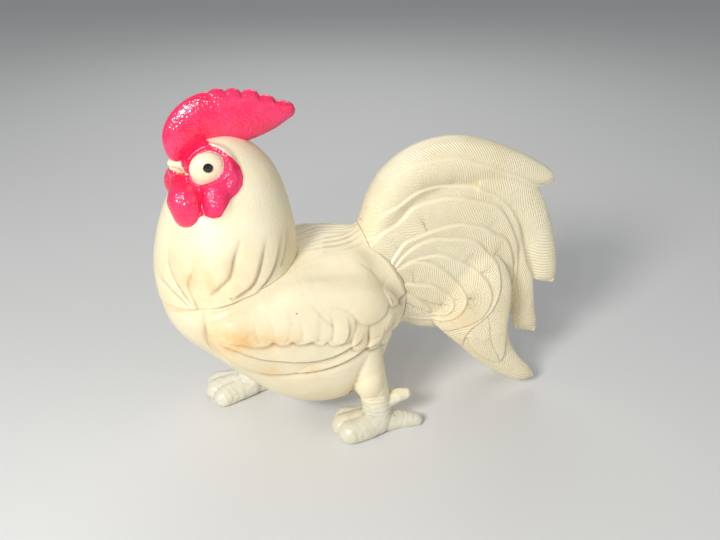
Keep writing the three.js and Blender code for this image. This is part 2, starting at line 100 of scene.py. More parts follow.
HEAD = [
    [-82.3, 65, -29.3, 78.2, 27.4],
    [-83, 72.5, -29.6, 84.5, 26.9],
    [-82.7, 79.5, -30, 90, 25.5],
    [-81.2, 87, -31, 96, 23.2],
    [-79, 94.5, -32.4, 101.8, 20.4],
    [-76.3, 101.3, -34.2, 107.6, 17.8],
    [-73.5, 106.5, -36.4, 112.5, 15.4],
    [-71, 111.5, -39.4, 116.8, 13.4],
    [-69.5, 115.5, -43, 120.4, 11.6],
    [-67.5, 119.5, -47, 123.2, 9.4],
    [-63, 123, -52, 125, 6],
    [-58, 125, -58, 125, 0],
]
COMB = [
    [-71.6, 116, -71.6, 116, 0],
    [-68.5, 116, -73.8, 120.5, 2.4],
    [-66, 118.6, -74.2, 126.5, 3.2],
    [-63, 121, -71.7, 132.2, 3.7],
    [-59, 122.6, -66.7, 137.1, 3.9],
    [-54.5, 123, -60, 140.2, 4],
    [-50, 122.6, -53.5, 141.6, 4],
    [-45.5, 122, -47, 141, 3.9],
    [-40, 123.6, -41.5, 140, 3.6],
    [-34.5, 126, -35.5, 137.4, 3.2],
    [-30.5, 128.6, -31, 135.4, 2.8],
    [-28.4, 130, -28.7, 134.2, 2],
    [-27.6, 132, -27.6, 132, 0],
]
TAIL_FAN = [
    *RUMP,
    [36, 32.6, 19, 104.6, 11.6],
    [46, 35, 36, 104, 10],
    [55, 42, 50, 98, 8],
    [62, 56, 60, 88, 5.5],
    [66, 73, 66, 73, 0],
]
TOP_SICKLE = [
    [10, 66, -6, 79.5, 11],
    [9, 74, -3.6, 88, 10.5],
    [11, 82, -0.5, 97.5, 10],
    [15.5, 89, 5, 106, 9.5],
    [21, 93, 13, 112.5, 9],
    [28, 96, 23.5, 116.3, 8.5],
    [38, 97, 34.5, 117, 8],
    [48, 96.5, 46, 114.5, 7.2],
    [57, 95.5, 57.5, 109.8, 6.2],
    [65, 94, 68, 104.2, 5],
    [72, 92.6, 75.6, 98.6, 3.2],
    [77.4, 94, 77.4, 94, 0],
]
REAR_SICKLE = [
    [40, 90, 44, 107, 6.5],
    [51, 86, 59, 102.5, 6.2],
    [59, 79, 70.5, 91.5, 5.6],
    [65, 70, 77, 78.5, 5],
    [69, 61, 80.6, 67, 4.4],
    [71.6, 54, 82.9, 56, 3.6],
    [73, 50.2, 83.2, 51.2, 2.8],
    [82.4, 46.8, 82.4, 46.8, 0],
]
INNER_SICKLE = [
    [50, 62, 66, 72, 5],
    [56, 52, 71, 58, 4.6],
    [61, 42, 73, 46, 4],
    [64.5, 32, 75, 35, 3.4],
    [66.4, 26.6, 76.6, 28, 2.8],
    [76.6, 22.8, 76.6, 22.8, 0],
]
SIDE_SICKLE = [
    [24, 48, 42, 74, 2.5, 7],
    [25, 41, 52, 67, 4.6, 9],
    [30, 35, 57, 57, 5.4, 10],
    [37, 28, 58, 47, 5.4, 10],
    [43.5, 21, 57.5, 36, 5.2, 10],
    [50.5, 14.5, 60, 26, 4.6, 9.5],
    [58, 9, 65, 17.5, 3.8, 9],
    [66, 4.6, 71, 10.5, 2.8, 8.5],
    [74.5, 4, 74.5, 4, 0, 8],
]
BEAK = [
    [0, -64, 114, 3.7],
    [0, -68.4, 115, 3.3],
    [0, -71.4, 115.6, 2.4],
]
BEAK_START = -68.8  # y at which the beak leaves the face
BEAK_BARE = 3.3  # the red keeps this far from the beak's middle
EYE = (9.8, -60.6, 116.4)  # centre of the left eye's bulge
EYE_RADII = (3.6, 6.2, 6.0)
EYE_EDGE = 1.07  # where the face starts, as a share of those radii
EYE_SCALE = 5.5  # millimetres for each radius, about

# The outer edges of the tail's nested feathers as [y, z], each inside the one before it.
FEATHER_EDGES = [
    [row[2:4] for row in TOP_SICKLE],
    [(-3, 101), (3, 104), (9, 107), (16, 110), (24, 111), (32, 111), (40, 108), (47, 105), (53, 102),
     (62, 98), (68, 94.5), (78, 90)],
    [(-3, 87), (3, 92), (9, 95), (16, 99), (24, 100), (32, 99), (39, 98), (45, 95), (52, 91), (56, 87),
     (60, 81), (63, 74), (65, 67), (67, 60), (71, 53), (78, 46)],
    [(-3, 80), (3, 85), (9, 88), (15, 93), (21, 94.4), (27, 95), (33, 94.4), (41, 92), (47, 90),
     (52, 87), (55, 83), (58, 77), (61, 70), (62.4, 61), (62.4, 54), (61.4, 46), (62, 38), (66, 28),
     (72, 20)],
    [(3, 70), (8, 77), (11, 80), (17, 82), (23, 83.4), (29, 84.2), (35, 84), (41, 82), (46, 80),
     (50, 77), (55, 74), (58, 68), (60, 61), (60.5, 52), (59.2, 44.6), (56.6, 37), (55.8, 29),
     (55.6, 22.6), (53.6, 19.4), (50, 20.6), (45.4, 23.8), (41, 28.6), (39, 34)],
    [(4, 68), (9, 74), (13, 77), (17, 79), (23, 80), (29, 79), (35, 78), (42, 75), (46, 70.5),
     (50, 66), (51.4, 59), (51, 54), (48, 47), (43, 42), (39, 38.5), (37, 34), (37, 28)],
    [(6, 69), (12, 72), (19, 73), (24, 73), (29, 71.4), (33, 69), (38, 66), (42, 63), (46, 58),
     (47.4, 53), (46.4, 48), (43, 43.4), (37, 40.4), (31, 38.2), (27, 37.4), (20, 38.6), (10, 42)],
    [(4, 69), (10, 71), (14, 72), (21, 70), (27, 66), (31, 62), (35, 57), (37, 52), (35, 46.5),
     (30, 43), (22, 42.5), (12, 46)],
    [(5, 62), (11, 63), (17, 61.4), (23, 59.4), (27, 56.4), (31, 53), (32, 49), (29, 45.4),
     (22, 45), (12, 49)],
    [(6, 61), (12, 58.4), (15, 56), (19, 52.4), (22, 49), (23, 46.6), (18, 47), (10, 51)],
]
HANGING = 4  # the first so many run out at the tail's lower end; the others come back to the rump

# Lines of the wing, the rump and the hackle as [y, z], the same on both sides.
WING_EDGE = [(-67, 71), (-67.4, 67), (-67.2, 62), (-66, 56), (-63.6, 52.6), (-61, 49.4), (-57, 46),
             (-51, 43), (-43, 40.6), (-35, 39.8), (-27, 39.8), (-19, 41), (-13, 43), (-8, 45), (-3, 46.6),
             (0, 50), (2, 54)]
OVER_WING = [(14, 60), (14, 110), (-100, 110), (-100, 71)]  # closes that edge round the wing's back
PRIMARY_EDGE = [(-67, 60), (-63, 58), (-58, 56), (-53, 53), (-49, 50.4), (-42, 48), (-35, 46), (-27, 45),
                (-20, 46), (-15, 48), (-11, 51), (-8, 54)]
COVERT_EDGE = [(-66, 60), (-60, 59), (-55, 58.2), (-50.6, 56.4), (-46.6, 56), (-44.4, 57),
               (-42, 55.6), (-39.4, 55.2), (-37.6, 56.2), (-35.4, 54.6), (-32.4, 54.2), (-30.4, 55),
               (-28.2, 52.9), (-26, 52.2), (-24.6, 53), (-22.2, 50.8), (-19, 51), (-16.8, 54.2),
               (-16.4, 59), (-17.6, 64)]
# Plump feather tips: width, rise, and the [y, z] of a line down the middle.
TIPS = [
    [5.2, 0.8, (-18.4, 66), (-17.6, 59), (-18, 55.2)],
    [3.6, 0.5, (-25.4, 65), (-25.2, 56.8)],
    [4.4, 0.6, (-31.2, 67), (-30.6, 58)],
    [3.4, 0.45, (-37, 66), (-36, 58.6)],
    [4.1, 0.5, (-42.4, 69), (-41.2, 60.8)],
    [3.8, 0.4, (-47.8, 68), (-46.6, 60.4)],
    [3.6, 1.6, (8.2, 58.4), (8, 52), (7.2, 45.6)],
    [3.7, 1.5, (2.6, 52.6), (1.2, 44.6)],
    [3.9, 1.4, (-3.6, 54.6), (-4.8, 46)],
    [4, 1.1, (-11.4, 58), (-11.4, 48.6)],
    [6.4, 1.6, (-3.4, 74), (3.2, 69), (6.4, 63.8)],
    [8, 1.0, (-18, 74), (-10, 68), (-6, 62.6)],
]
HACKLE_LOCKS = [
    [(-76.4, 95), (-77.3, 89), (-78.3, 84), (-77.3, 79), (-75.1, 75), (-72.6, 71), (-69, 67)],
    [(-68.4, 89), (-70.3, 83), (-72.4, 79), (-72.4, 76), (-71.4, 73), (-69.5, 68.2), (-67, 64)],
    [(-51, 97), (-53.7, 91.9), (-55.6, 87.5), (-57.5, 82), (-62.6, 77.4), (-68, 73.6)],
    [(-42.6, 95), (-44.2, 89), (-45.8, 84), (-48.9, 78), (-54.6, 74.6), (-61, 72.6)],
    [(-36.6, 94), (-37.8, 88), (-39.6, 83), (-42.3, 79), (-46.4, 75.6), (-52, 73)],
    [(-33.4, 96), (-34, 89), (-36.4, 83), (-40, 78)],
    [(-68, 65.4), (-69.9, 67.2), (-76.1, 72.3), (-79.4, 74.7), (-81.4, 76.4), (-82.6, 79.4), (-83.4, 84)],
]
FACE = [(-69.6, 122), (-65.2, 124.5), (-61.8, 125.4), (-59.6, 124.4), (-57.6, 123.9), (-56.4, 123.3),
        (-54.6, 122.3), (-52.1, 120.2), (-49.7, 117), (-49, 113.8), (-49.7, 111), (-51.6, 109),
        (-54.5, 107.1), (-57, 103.9), (-58.2, 102.2), (-60.7, 101.6), (-63.8, 102.2), (-65.2, 101.6),
        (-67, 101), (-69.4, 102), (-71.4, 106), (-72.6, 110.4), (-80, 111.6), (-80, 112),
        (-72, 112.8), (-69.5, 113.6), (-67.4, 114.2), (-67, 114.5), (-67.6, 114.7), (-69, 116)]
EAR = [(-57.6, 121.6), (-55.7, 120.1), (-53.8, 118.1), (-52.4, 115.7), (-52.4, 113.4), (-54, 110.7),
       (-57.2, 108)]
MOUTH = [(-74.6, 115), (-72.4, 114.8), (-70, 114.4), (-67, 113.8), (-65.4, 113.6)]
LOBE = (-59.2, 107)  # middle of the swelling under the eye
LOBE_GROOVE = [(-64, 110), (-64.2, 107), (-63.8, 104), (-63.4, 100)]
COMB_MIDDLE = (-50, 128)  # the comb's notches are pressed in towards this
COMB_NOTCHES = [  # depth, and the line of each
    [0.7, (-57.8, 141.6), (-57.2, 138)],
    [1.3, (-51.9, 142.8), (-51.9, 138.4)],
    [1.4, (-45.6, 142.4), (-46, 137.8)],
    [1.4, (-38.6, 140.4), (-39.8, 136.2)],
    [1.3, (-32.4, 138), (-34.4, 134.4)],
]
# Old amber stains: y, z, radius and strength.
STAINS = [
    (-61.5, 58.5, 6, 1.3), (-55, 59, 5, 0.7), (-47, 57.6, 4, 1.1), (-39, 56.6, 4, 0.6),
    (-46, 41.5, 6, 0.7), (-64, 82, 10, 0.45), (-72, 80, 7, 0.4), (-50, 84, 8, 0.35),
    (-10, 48, 6, 0.4), (36, 48, 9, 0.35), (-30, 40, 5, 0.5),
]

# ---- Curves and lofts ----


def spline(points, count):
    """count points at even steps of a centripetal Catmull-Rom curve through the points."""
    p = np.array(points, float)
    p = np.vstack([2 * p[0] - p[1], p, 2 * p[-1] - p[-2]])
    made = []
    for t in np.linspace(0, len(points) - 1, count):
        i = min(int(t), len(points) - 2)
        u = t - i
        a, b, c, d = p[i : i + 4]
        steps = [np.linalg.norm(e) ** 0.5 for e in (b - a, c - b, d - c)]
        middle = steps[1] if steps[1] > 1e-4 else 1.0
        before = steps[0] if steps[0] > 1e-4 else middle
        after = steps[2] if steps[2] > 1e-4 else middle
        leave = ((b - a) / before - (c - a) / (before + middle) + (c - b) / middle) * middle
        arrive = ((c - b) / middle - (d - b) / (middle + after) + (d - c) / after) * middle
        made.append(
            b + leave * u + (3 * (c - b) - 2 * leave - arrive) * u**2
            + (2 * (b - c) + leave + arrive) * u**3
        )
    return np.array(made)


def skin(rings, wrap=False):
    """The faces over a row of rings. A ring of one point is a pole, and other open ends get a cap."""
    starts = np.cumsum([0] + [len(r) for r in rings])
    faces = []
    pairs = [(i, i + 1) for i in range(len(rings) - 1)]
    if wrap:
        pairs.append((len(rings) - 1, 0))
    for low, high in pairs:
        n, m = len(rings[low]), len(rings[high])
        around = max(n, m)
        for k in range(around):
            nxt = (k + 1) % around
            a, b = starts[low] + (k if n > 1 else 0), starts[low] + (nxt if n > 1 else 0)
            c, d = starts[high] + (nxt if m > 1 else 0), starts[high] + (k if m > 1 else 0)
            corners = [a] if a == b else [a, b]
            corners += [c] if c == d else [c, d]
            if len(corners) > 2:
                faces.append([int(v) for v in corners])
    if not wrap:
        if len(rings[0]) > 1:
            faces.append([int(v) for v in range(len(rings[0]))][::-1])
        if len(rings[-1]) > 1:
            faces.append([int(starts[-2] + k) for k in range(len(rings[-1]))])
    return np.vstack(rings), faces


def ring(centre, across, up, around):
    """Points round an oval, from its middle and its two half axes."""
    turn = np.linspace(0, 2 * math.pi, around, endpoint=False)[:, None]
    return centre + np.cos(turn) * across + np.sin(turn) * up


def loft(stations, inset=0.0, around=72, along=90):
    """The CAD's oval rings between a low and a high rail."""
    low = spline([[row[4], row[0], row[1]] for row in stations], along + 1)
    high = spline([[row[5] if len(row) > 5 else 0, row[2], row[3]] for row in stations], along + 1)
    rings = []
    for a, b in zip(low, high):
        centre = np.array([b[0], (a[1] + b[1]) / 2, (a[2] + b[2]) / 2])
        reach = np.array([0, (b[1] - a[1]) / 2, (b[2] - a[2]) / 2])
        length = np.linalg.norm(reach) - inset
        half = a[0] - inset
        if inset > 0 and min(length, half) < inset:
            continue
        if min(length, half) < 1e-3:
            rings.append(centre[None])
            continue
        reach *= length / np.linalg.norm(reach)
        rings.append(ring(centre, np.array([half, 0, 0]), reach, around))
    return skin(rings)


def limb(points, around=28, steps=10):
    """A round limb with hemispherical ends through points [x, y, z, radius]."""
    count = steps * (len(points) - 1) + 1
    path = spline([p[:3] for p in points], count)
    radii = spline([[p[3], 0] for p in points], count)[:, 0]
    tangents = np.gradient(path, axis=0)
    tangents /= np.linalg.norm(tangents, axis=1)[:, None]
    lifts = np.radians([72, 54, 36, 18])
    out = -tangents[0] * radii[0]
    spots = [(path[0] + out * math.sin(a), tangents[0], radii[0] * math.cos(a)) for a in lifts]
    spots += list(zip(path, tangents, radii))
    rings = [(path[0] + out)[None]]
    out = tangents[-1] * radii[-1]
    spots += [(path[-1] + out * math.sin(a), tangents[-1], radii[-1] * math.cos(a))
              for a in lifts[::-1]]
    side = np.array([1.0, 0, 0])
    for centre, tangent, radius in spots:
        side = side - tangent * (side @ tangent)
        side /= np.linalg.norm(side)
        rings.append(ring(centre, radius * side, radius * np.cross(tangent, side), around))
    rings.append((path[-1] + out)[None])
    return skin(rings)


def lathe(profile, place, around=96):
    """A turned piece: profile points [radius, height] along the seat's axis from its centre."""
    axis = place["axis"]
    side = np.cross(axis, [1.0, 0, 0] if abs(axis[0]) < 0.9 else [0, 1.0, 0])
    side /= np.linalg.norm(side)
    other = np.cross(axis, side)
    wrap = profile[0] == profile[-1]
    rings = []
    for radius, height in profile[: -1 if wrap else None]:
        centre = place["centre"] + axis * height
        if radius < 1e-6:
            rings.append(centre[None])
        else:
            rings.append(ring(centre, radius * side, radius * other, around))
    return skin(rings, wrap)


def cylinder(radius, low, high, place, around=96):
    """A cylinder on a seat's axis between two heights."""
    return lathe([[0, low], [radius, low], [radius, high], [0, high]], place, around)


def ellipsoid(radii, centre, around=48):
    poles = np.array([[[0, 0, -1.0]], [[0, 0, 1.0]]])
    rings = []
    for a in np.linspace(-math.pi / 2, math.pi / 2, around // 2 + 1)[1:-1]:
        across = np.array([math.cos(a), 0, 0])
        rings.append(ring(UP * math.sin(a), across, np.roll(across, 1), around))
    points, faces = skin([poles[0], *rings, poles[1]])
    return points * radii + centre, faces


def mirrored(stations, back=0.0, up=0.0):
    """The other side's copy of a loft, moved back and up by that much."""
    return [[y1 + back, z1 + up, y2 + back, z2 + up, half, -middle]
            for y1, z1, y2, z2, half, middle in stations]


# ---- Seats, from the frame's joints ----

JOINTS = {joint["name"]: joint for joint in frame["joints"]}


def seat(joint, hole, reach, way=1):
    """A round seat that a plug sits in. Its axis points away from the body."""
    found = JOINTS[joint]
    return {"centre": np.array(found["pos_m"]) / MM, "axis": way * np.array(found["axis"], float),
            "hole": hole, "reach": reach}


NECK = seat("head_turn", 14, 2.6)
TAIL = seat("tail_twist", 8.5, 2.2)
LEFT_HIP = seat("left_leg_turn", 3.3, 1.3, -1)
RIGHT_HIP = seat("right_leg_turn", 3.3, 1.3, -1)
SQUEAKER = {"centre": np.array([0, -21, 11.6]), "axis": -UP, "hole": 7.6, "reach": 0}
SQUEAKER_RING = 11.0  # radius of the thick ring of belly that grips the squeaker
RING_THICKNESS = 2.8
RIM_ROOM = 10.1  # radius of the flat round the squeaker's rolled rim
TAIL_BALL = 27.0  # the tail sits on a ball of this radius, so its seam bows back on each side
TAIL_RIM = 15.65  # from the ball's middle to the flat face around the ball
LEFT_ANKLE = (19.4, -1.2)
RIGHT_ANKLE = (-19.4, -48.6)
LEFT_HEADING = math.radians(2)  # turns the left foot's toes outwards


def flipped(place):
    """The seat with its axis turned round."""
    return {**place, "axis": -place["axis"]}


def beyond(place, height):
    """Everything past that height along a seat's axis."""
    return cylinder(FAR, height, height + FAR, place, 12)


def plug(place, bore=0.0, wall=WALL):
    """A stem through the hole and a flange behind the wall, as in the CAD."""
    root = GAP + 1
    stem = place["hole"] - GAP
    flange = place["hole"] + place["reach"]
    back = -wall - GAP
    outside = [[stem, root], [stem, back], [flange, back], [flange - FLANGE_TAPER, back - LIP]]
    profile = [[bore, root], *outside, [bore, back - LIP]]
    if bore:
        profile.append([bore, root])
    return lathe(profile, place)


# ---- Solids ----


def raw(name, parts):
    """One object of several closed shapes, in millimetres."""
    points = []
    faces = []
    for part_points, part_faces in parts:
        first = sum(len(p) for p in points)
        points.append(part_points)
        faces += [[first + v for v in face] for face in part_faces]
    mesh = bpy.data.meshes.new(name)
    mesh.from_pydata(np.vstack(points).tolist(), [], faces)
    obj = bpy.data.objects.new(name, mesh)
    bpy.context.collection.objects.link(obj)
    bm = bmesh.new()
    bm.from_mesh(mesh)
    bmesh.ops.recalc_face_normals(bm, faces=bm.faces)
    bm.to_mesh(mesh)
    bm.free()
    return obj


def applied(obj, kind, **settings):
    """obj with one modifier applied to its mesh."""
    modifier = obj.modifiers.new(kind, kind)
    for key, value in settings.items():
        setattr(modifier, key, value)
    bpy.context.view_layer.update()
    graph = bpy.context.evaluated_depsgraph_get()
    mesh = bpy.data.meshes.new_from_object(obj.evaluated_get(graph))
    obj.modifiers.clear()
    old = obj.data
    obj.data = mesh
    bpy.data.meshes.remove(old)
    return obj


def moulded(name, parts, grain, rounds=6):
    """The parts grown together into one even skin, with its creases softened."""
    obj = applied(raw(name, parts), "REMESH", mode="VOXEL", voxel_size=grain)
    points, links = arrays(obj)
    move_to(obj, relaxed(points, links, rounds))
    return obj


def boolean(obj, kind, *shapes):
    """obj joined with, cut by or cut down to each shape in turn."""
    for shape in shapes:
        other = shape if isinstance(shape, bpy.types.Object) else raw("cutter", [shape])
        applied(obj, "BOOLEAN", operation=kind, solver="MANIFOLD", object=other)
        drop(other)
    return obj


def drop(obj):
    mesh = obj.data
    bpy.data.objects.remove(obj)
    bpy.data.meshes.remove(mesh)


def arrays(obj):
    """The points and the edges of an object's mesh."""
    mesh = obj.data
    points = np.empty(len(mesh.vertices) * 3)
    mesh.vertices.foreach_get("co", points)
    links = np.empty(len(mesh.edges) * 2, int)
    mesh.edges.foreach_get("vertices", links)
    return points.reshape(-1, 3), links.reshape(-1, 2)


def move_to(obj, points):
    """Moves an object's points to those places."""
    obj.data.vertices.foreach_set("co", np.ascontiguousarray(points, float).ravel())
    obj.data.update()


def normals(obj):
    found = np.empty(len(obj.data.vertices) * 3)
    obj.data.vertices.foreach_get("normal", found)
    return found.reshape(-1, 3)


def averaged(values, links):
    """Each point's values averaged over its neighbours."""
    a, b = links.T
    count = len(values)
    total = np.zeros_like(values)
    for column in range(values.shape[1]):
        total[:, column] = np.bincount(a, values[b, column], count)
        total[:, column] += np.bincount(b, values[a, column], count)
    degree = np.bincount(a, minlength=count) + np.bincount(b, minlength=count)
    return total / np.maximum(degree, 1)[:, None]


def evened(points, links, rounds, share):
    """Points moved towards their neighbours' average again and again, by that share each time."""
    for _ in range(rounds):
        points = points + share * (averaged(points, links) - points)
    return points


def relaxed(points, links, rounds):
    """Smoothed points that keep their volume."""
    for _ in range(rounds):
        points = evened(points, links, 1, 0.5)
        points = evened(points, links, 1, -0.52)
    return points


def displaced(obj, relief, *more):
    """Moves each point of a mesh to where the relief puts it."""
    points, _ = arrays(obj)
    move_to(obj, relief(points, normals(obj), *more))


def ramp(low, high, value):
    """0 at low and 1 at high, with a soft start and end."""
    t = np.clip((value - low) / (high - low), 0, 1)
    return t * t * (3 - 2 * t)


def bell(value, width):
    """1 where the value is 0, falling away to each side."""
    return np.exp(-((value / width) ** 2))


# ---- Relief ----


def nearest(points, line):
    """Each point's distance to a polyline, how far along the nearest spot is, and on which step."""
    best = np.full(len(points), np.inf)
    along = np.zeros(len(points))
    on = np.zeros(len(points), int)
    passed = 0.0
    for i, (a, b) in enumerate(zip(line[:-1], line[1:])):
        step = b - a
        length = np.linalg.norm(step)
        t = np.clip((points - a) @ step / length**2, 0, 1)
        away = np.linalg.norm(points - a - t[:, None] * step, axis=1)
        nearer = away < best
        best[nearer] = away[nearer]
        along[nearer] = passed + t[nearer] * length
        on[nearer] = i
        passed += length
    return best, along, on


def to_line(points, line):
    """Each point's distance to a polyline, and how far along it the nearest spot lies."""
    return nearest(points, line)[:2]


def by_share(points, line):
    """The same, with the second as a share of the line's length."""
    away, along = to_line(points, line)
    return away, along / np.linalg.norm(np.diff(line, axis=0), axis=1).sum()


def within(points, outline):
    """Whether each [y, z] lies in a closed outline."""
    y, z = points.T
    inside = np.zeros(len(points), bool)
    for (y1, z1), (y2, z2) in zip(outline, np.roll(outline, -1, 0)):
        if z1 == z2:
            continue
        crosses = ((z1 > z) != (z2 > z)) & (y < (y2 - y1) * (z - z1) / (z2 - z1) + y1)
        inside ^= crosses
    return inside


def shelf(side, edge, root, rise, fade):
    """A row of feathers that ends in a step at its edge and sinks back over the fade length.

    The points in root close the edge's outline.
    """
    line = spline(edge, 4 * len(edge))
    away, share = by_share(side, line)
    signed = np.where(within(side, np.vstack([line, root])), away, -away)
    ends = ramp(0, 0.12, share) * ramp(1, 0.85, share)
    return ends * ramp(-0.35, 0.4, signed) * rise * np.exp(-np.maximum(signed, 0) / fade)


def groove(side, points, depth, width):
    """A crease with soft shoulders, which runs out at the last of its points."""
    away, share = by_share(side, spline(points, 6 * len(points)))
    return -depth * ramp(1.0, 0.6, share) * (0.6 * bell(away, width) + 0.4 * bell(away, 2.6 * width))


def tip(side, width, rise, *line):
    """A plump feather that grows out of the skin along a line, with a crease round its end."""
    away, share = by_share(side, np.array(line, float))
    dome = np.sqrt(np.clip(1 - (away / width) ** 2, 0, 1))
    return rise * ramp(-0.1, 0.9, share) * (dome - 0.4 * bell(away - width, 0.8))


def lock(side, line, depth):
    """A lock's edge: a crease that is steep on its right and slopes away gently on its left."""
    line = spline(line, 6 * len(line))
    steps = np.diff(line, axis=0)
    away, along, on = nearest(side, line)
    share = along / np.linalg.norm(steps, axis=1).sum()
    ends = ramp(0, 0.4, share) * ramp(1, 0.75, share)
    step_y, step_z = steps[on].T
    off_y, off_z = (side - line[on]).T
    reach = np.where(step_y * off_z > step_z * off_y, 5.5, 1.1)
    return -depth * ends * np.exp(-away / reach)


def hackle_relief(points):
    """The long locks of the neck feathers, which fade out at the front of the breast."""
    height = np.min([lock(points[:, 1:], line, 1.5) for line in HACKLE_LOCKS], axis=0)
    return height * ramp(5, 13, np.abs(points[:, 0]))


BARB = 1.25  # spacing of a tail feather's barbs
SLANT = 0.9  # how far a barb runs towards the tip for each millimetre away from the edge
INNERMOST = 6.0  # width of the last of the nested feathers
AHEAD, BEHIND, BELOW = -40, 95, -20  # y, y and z outside the tail


def feather_relief(side):
    """Height of the nested tail feathers at [y, z], and the barbs' phase and strength."""
    lines = [spline(edge, 4 * len(edge)) for edge in FEATHER_EDGES]
    found = [to_line(side, line) for line in lines]
    found.append((np.full(len(side), INNERMOST), None))
    height = np.zeros(len(side))
    phase = np.zeros(len(side))
    strength = np.zeros(len(side))
    for i, line in enumerate(lines):
        away, along = found[i]
        after = found[i + 1][0]
        first, last = line[0, 1], line[-1, 1]
        closing = [(AHEAD, last), (AHEAD, first)]
        if i < HANGING:
            closing = [(BEHIND, last), (BEHIND, BELOW), (AHEAD, BELOW), (AHEAD, first)]
        inside = within(side, np.vstack([line, closing])) | (i == 0)
        signed = np.where(inside, away, -away)
        # Each feather stands proud along its edge and sinks towards the next one's.
        rise = 1.05 if i else 0.5
        own = rise * (0.45 - away / (away + after + 1e-6))
        weight = ramp(-0.7, 0.6, signed)
        height = height * (1 - weight) + own * weight
        phase = np.where(signed > 0, (along - SLANT * away) / BARB + 7 * i, phase)
        mask = ramp(0.3, 1, away) * ramp(0.2, 0.9, after)
        strength = np.where(signed > 0, mask, strength * ramp(0.0, 0.6, away))
    return height, phase, strength


def tail_relief(points, normal):
    """The nested feathers and their barbs, raised sideways."""
    height, phase, strength = feather_relief(points[:, 1:])
    height = height + 0.07 * np.sin(2 * math.pi * phase) * strength
    moved = points.copy()
    moved[:, 0] += height * ramp(0.12, 0.5, np.abs(normal[:, 0])) * np.sign(points[:, 0])
    return moved


# ---- Looks ----


def attribute(obj, name, values):
    """Stores a value for each point, for the material to read."""
    layer = obj.data.attributes.new(name, "FLOAT", "POINT")
    layer.data.foreach_set("value", np.ascontiguousarray(values, np.float32))


def cavity(obj, scale):
    """How deep each point lies below the smoothed skin around it, as a share of scale."""
    points, links = arrays(obj)
    even = evened(points, links, 8, 0.7)
    deep = np.einsum("ij,ij->i", even - points, normals(obj)) / scale
    return averaged(deep[:, None], links)[:, 0]


class Nodes:
    """A small helper that adds shader nodes and links them."""

    def __init__(self, name):
        self.material = bpy.data.materials.new(name)
        self.material.use_nodes = True
        self.tree = self.material.node_tree
        self.shader = self.tree.nodes["Principled BSDF"]

    def add(self, kind, **inputs):
        node = self.tree.nodes.new("ShaderNode" + kind)
        for key, value in inputs.items():
            self.feed(node.inputs[key], value)
        return node

    def feed(self, socket, value):
        if isinstance(value, bpy.types.NodeSocket):
            self.tree.links.new(value, socket)
        else:
            socket.default_value = value

    def where(self):
        return self.add("TexCoord").outputs["Object"]

    def noise(self, scale, detail=3.0, rough=0.5):
        node = self.add("TexNoise", Vector=self.where(), Scale=scale, Detail=detail, Roughness=rough)
        return node.outputs["Fac"]

    def curve(self, value, *stops):
        """value through a ramp between two stops of position and shade."""
        node = self.add("ValToRGB", Fac=value)
        for element, (position, shade) in zip(node.color_ramp.elements, stops):
            element.position = position
            element.color = (shade, shade, shade, 1)
        return node.outputs["Color"]

    def maths(self, operation, a, b=0.0, clamp=False):
        node = self.add("Math")
        node.operation = operation
        node.use_clamp = clamp
        self.feed(node.inputs[0], a)
        self.feed(node.inputs[1], b)
        return node.outputs[0]

    def mix(self, share, a, b):
        node = self.add("Mix")
        node.data_type = "RGBA"
        self.feed(node.inputs["Factor"], share)
        self.feed(node.inputs["A"], a)
        self.feed(node.inputs["B"], b)
        return node.outputs["Result"]

    def own(self, name):
        """A value stored with the mesh's points."""
        node = self.add("Attribute")
        node.attribute_name = name
        return node.outputs["Fac"]

    def bump(self, height, distance, under=None):
        node = self.add("Bump", Strength=1.0, Distance=distance, Height=height)
        if under is not None:
            self.feed(node.inputs["Normal"], under)
        return node.outputs["Normal"]

    def finish(self, **sockets):
        """The material, with the shader's sockets set or linked."""
        for key, value in sockets.items():
            self.feed(self.shader.inputs[key.replace("_", " ")], value)
        return self.material


def colour(red, green, blue):
    """A display colour of 0 to 255 as the linear one that a shader takes."""
    linear = [(c / 255) / 12.92 if c <= 10 else ((c / 255 + 0.055) / 1.055) ** 2.4
              for c in (red, green, blue)]
    return (*linear, 1.0)


AMBER = colour(232, 180, 100)
SPECKS = colour(96, 74, 52)


